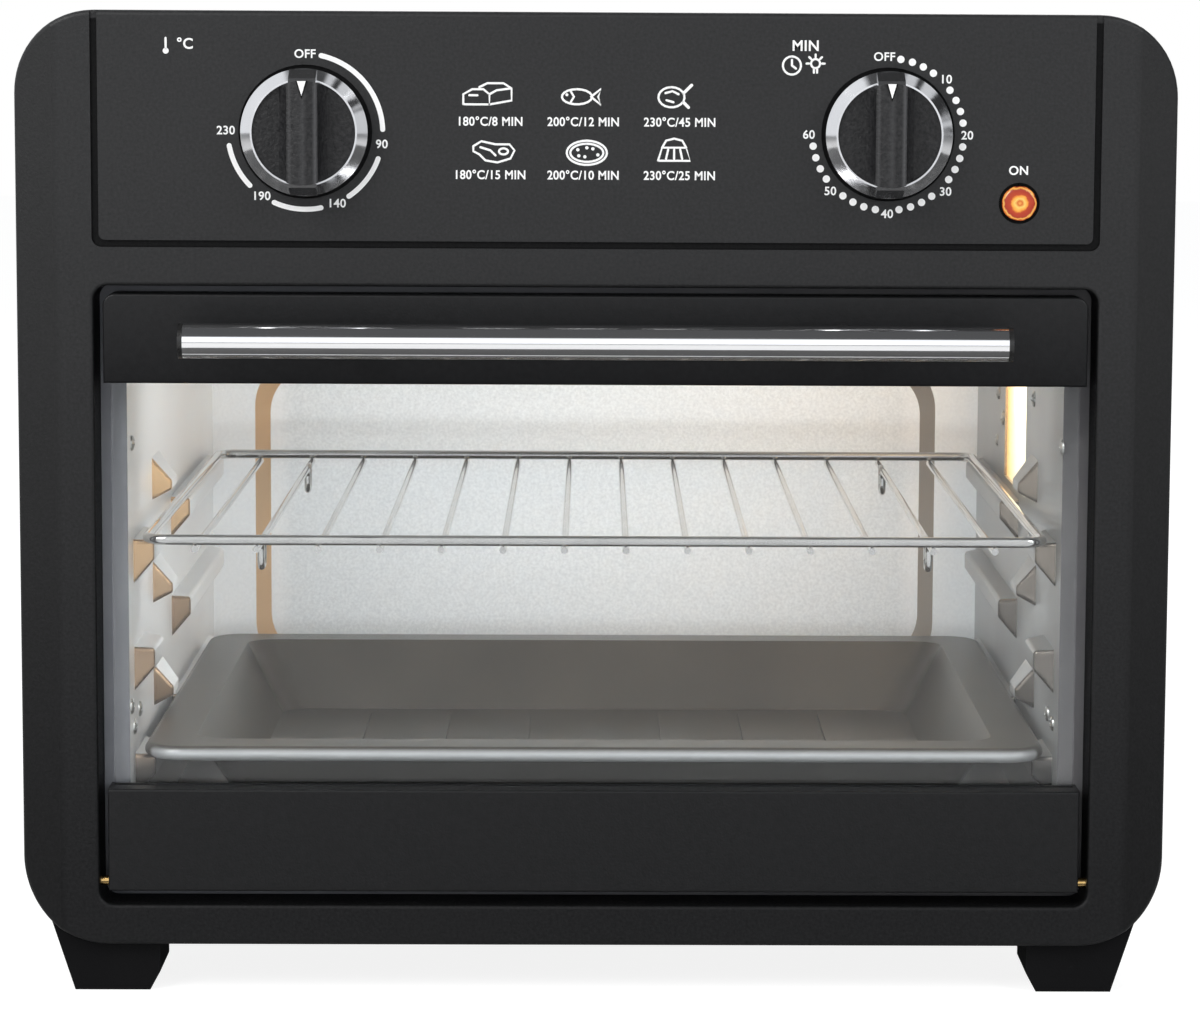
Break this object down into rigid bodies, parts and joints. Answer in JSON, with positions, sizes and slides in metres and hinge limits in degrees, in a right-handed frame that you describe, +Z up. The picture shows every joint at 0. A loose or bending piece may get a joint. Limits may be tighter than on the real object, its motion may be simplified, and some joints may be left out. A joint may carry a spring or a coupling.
{
  "type": "air fryer oven",
  "caption": "Countertop air fryer oven with a drop-down glass door, a control panel with two knobs, a wire rack and a baking pan.",
  "frame": {"origin": "centre of the outer box, on the surface that the feet stand on", "axes": "+X to the right seen from the front, +Y from the door to the back, +Z up"},
  "size_m": [0.395, 0.385, 0.338],
  "materials": {
    "frame_plastic": "fine matt texture",
    "case_paint": "matt black powder coat",
    "foot_plastic": "moulded matt",
    "gland_rubber": "matt",
    "cavity_steel": "aluminised satin",
    "mouth_steel": "grey satin",
    "heater_steel": "heat-darkened satin",
    "ceramic_bush": "matt white",
    "plated_steel": "zinc plated",
    "lamination_steel": "stacked sheets",
    "winding": "varnished copper wire",
    "switch_body": "moulded",
    "shaft_steel": "turned",
    "knob_plastic": "fine matt texture",
    "knob_chrome": "bright plated",
    "amber_lens": "lit translucent amber",
    "lamp_glass": "clear heat-proof",
    "bulb_glass": "frosted, lit",
    "door_plastic": "smooth matt",
    "door_glass": "clear toughened",
    "handle_chrome": "bright plated",
    "handle_plastic": "satin black",
    "hinge_brass": "bright",
    "rack_chrome": "bright plated wire",
    "pan_enamel": "grey non-stick enamel"
  },
  "bodies": {
    "cabinet": {"front_frame": "frame_plastic", "outer_wrapper": "case_paint", "base_plate": "case_paint", "back_panel": "case_paint", "cord_gland": "gland_rubber", "case_screws": "plated_steel", "front_left_foot": "foot_plastic", "front_right_foot": "foot_plastic", "rear_left_foot": "foot_plastic", "rear_right_foot": "foot_plastic", "cavity_mouth_frame": "mouth_steel", "cavity_left_wall": "cavity_steel", "cavity_right_wall": "cavity_steel", "cavity_back_wall": "cavity_steel", "cavity_ceiling": "cavity_steel", "cavity_floor": "cavity_steel", "upper_heater_rods": "heater_steel", "lower_heater_rods": "heater_steel", "heater_insulators": "ceramic_bush", "fan_guard": "cavity_steel", "heat_shield": "plated_steel", "motor_bracket": "plated_steel", "motor_core": "lamination_steel", "motor_coil": "winding", "thermostat_body": "switch_body", "timer_body": "switch_body", "timer_bell": "plated_steel", "power_lamp_lens": "amber_lens", "power_lamp_body": "switch_body", "oven_lamp_glass": "lamp_glass", "oven_lamp_holder": "plated_steel", "oven_lamp_bulb": "bulb_glass", "hinge_pins": "hinge_brass"},
    "door": {"door_upper_rail": "door_plastic", "door_lower_rail": "door_plastic", "door_glass": "door_glass", "handle_bar": "handle_chrome", "handle_end_caps": "handle_plastic", "handle_posts": "handle_plastic", "handle_screws": "plated_steel"},
    "rack": {"rack_frame": "rack_chrome", "rack_wires": "rack_chrome"},
    "pan": {"baking_pan": "pan_enamel"},
    "temperature_control": {"temperature_knob": "knob_plastic", "temperature_knob_ring": "knob_chrome", "temperature_shaft": "shaft_steel"},
    "timer_control": {"timer_knob": "knob_plastic", "timer_knob_ring": "knob_chrome", "timer_shaft": "shaft_steel"},
    "fan_rotor": {"hot_air_fan": "plated_steel", "fan_shaft": "shaft_steel", "motor_rotor": "lamination_steel", "cooling_fan": "switch_body"}
  },
  "joints": [
    {"name": "door_hinge", "type": "hinge", "parent": "cabinet", "child": "door", "pos_m": [0, -0.1595, 0.0387], "axis": [1, 0, 0], "range_deg": [0, 90]},
    {"name": "rack_slide", "type": "slide", "parent": "cabinet", "child": "rack", "axis": [0, -1, 0], "range_m": [0, 0.16]},
    {"name": "pan_slide", "type": "slide", "parent": "cabinet", "child": "pan", "axis": [0, -1, 0], "range_m": [0, 0.065]},
    {"name": "temperature_turn", "type": "hinge", "parent": "cabinet", "child": "temperature_control", "pos_m": [-0.0985, -0.1695, 0.2974], "axis": [0, 1, 0], "range_deg": [0, 270]},
    {"name": "timer_turn", "type": "hinge", "parent": "cabinet", "child": "timer_control", "pos_m": [0.0985, -0.1695, 0.2974], "axis": [0, 1, 0], "range_deg": [0, 270]},
    {"name": "fan_spin", "type": "hinge", "parent": "cabinet", "child": "fan_rotor", "pos_m": [0, 0.01, 0.2425], "axis": [0, 0, 1], "continuous": true}
  ],
  "couplings": [
    {"joint": "rack_slide", "follows": "door_hinge", "m_per_rad": 0.1018},
    {"joint": "pan_slide", "follows": "door_hinge", "m_per_rad": 0.0413}
  ]
}
